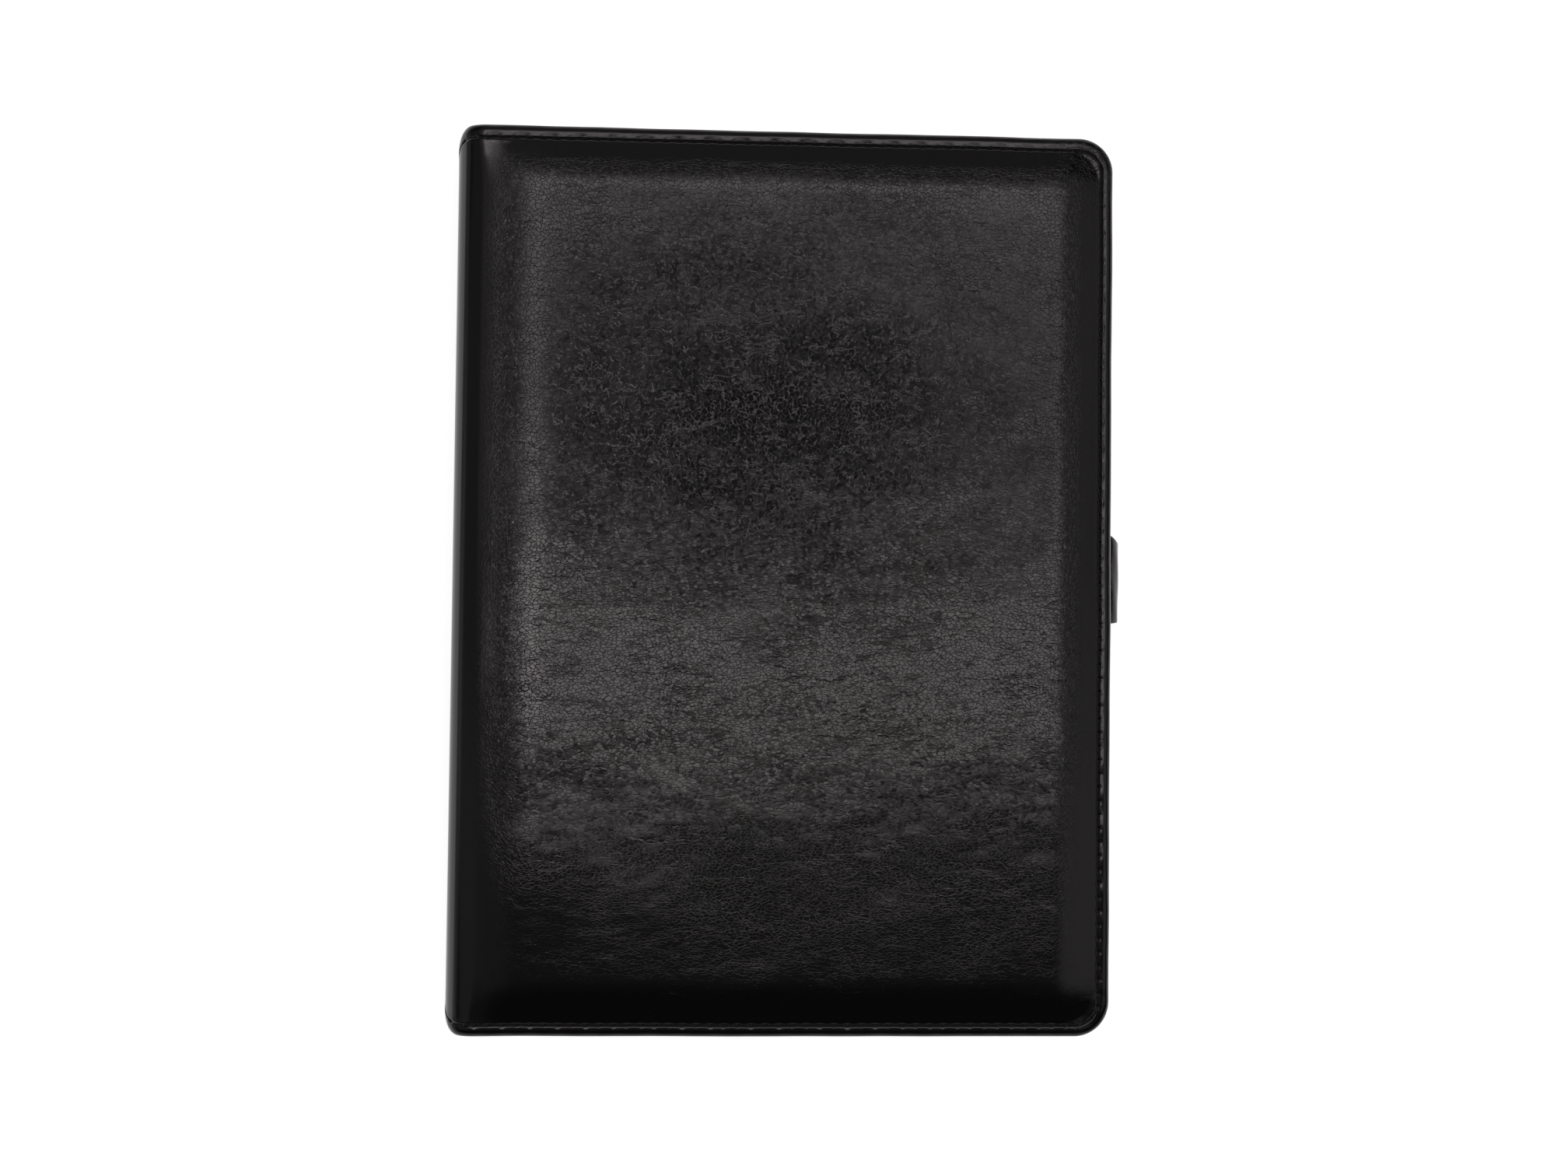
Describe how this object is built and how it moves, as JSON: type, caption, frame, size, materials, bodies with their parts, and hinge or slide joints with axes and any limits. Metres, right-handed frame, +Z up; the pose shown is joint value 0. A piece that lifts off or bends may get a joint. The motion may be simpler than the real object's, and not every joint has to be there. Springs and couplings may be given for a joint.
{
  "type": "leather notebook cover",
  "caption": "Closed padded leather notebook cover with stitched edges, rounded spine, inner pockets, card slots, pen loop and an A5 notebook inside.",
  "frame": {"origin": "centre of the box's underside, on the surface the closed cover lies on; the pen loop counts in the width", "axes": "+X from the spine to the fore edge, +Y from foot to head, +Z up through the front panel"},
  "size_m": [0.1662, 0.222, 0.0215],
  "materials": {
    "cover_leather": "soft semi-gloss, fine crackle grain, warm black",
    "pocket_leather": "thin smooth leather, satin",
    "lining": "fine plain weave, matt",
    "thread": "waxed thread",
    "foam": "soft open foam",
    "board": "grey board",
    "notebook_card": "dark matt card",
    "paper": "cream uncoated paper"
  },
  "bodies": {
    "back": {"back_leather": "cover_leather", "back_foam": "foam", "back_board": "board", "back_lining": "lining", "back_sleeve": "pocket_leather", "back_stitching": "thread", "back_sleeve_stitching": "thread", "pen_loop_tab": "cover_leather", "notebook_back_card": "notebook_card", "notebook_lower_binding": "notebook_card", "notebook_section_1": "paper", "notebook_section_2": "paper", "notebook_section_3": "paper", "notebook_section_4": "paper", "notebook_section_5": "paper", "notebook_section_6": "paper"},
    "spine": {"spine_leather": "cover_leather", "spine_stiffener": "board", "spine_lining": "lining", "spine_stitching": "thread"},
    "front": {"front_leather": "cover_leather", "front_foam": "foam", "front_board": "board", "front_lining": "lining", "front_stitching": "thread", "front_sleeve": "pocket_leather", "front_sleeve_stitching": "thread", "notebook_front_card": "notebook_card", "card_slot_1": "pocket_leather", "card_slot_2": "pocket_leather", "card_slot_3": "pocket_leather", "card_slot_stitching": "thread"},
    "upper_leaves": {"notebook_upper_binding": "notebook_card", "notebook_section_7": "paper", "notebook_section_8": "paper", "notebook_section_9": "paper", "notebook_section_10": "paper", "notebook_section_11": "paper"},
    "pen_loop": {"pen_loop": "cover_leather"}
  },
  "joints": [
    {"name": "spine_fold", "type": "hinge", "parent": "back", "child": "spine", "pos_m": [-0.08154, 0, 0.00371], "axis": [0, -1, 0], "range_deg": [0, 90]},
    {"name": "front_fold", "type": "hinge", "parent": "spine", "child": "front", "pos_m": [-0.08154, 0, 0.01779], "axis": [0, -1, 0], "range_deg": [0, 90]},
    {"name": "leaves_turn", "type": "hinge", "parent": "back", "child": "upper_leaves", "pos_m": [-0.0775, 0, 0.01075], "axis": [0, -1, 0], "range_deg": [0, 180]},
    {"name": "pen_loop_fold", "type": "hinge", "parent": "back", "child": "pen_loop", "pos_m": [0.07935, 0.0016, 0.0056], "axis": [0, 1, 0], "range_deg": [0, 80]}
  ],
  "couplings": [
    {"joint": "front_fold", "follows": "spine_fold", "ratio": 1},
    {"joint": "leaves_turn", "follows": "spine_fold", "ratio": 2}
  ]
}
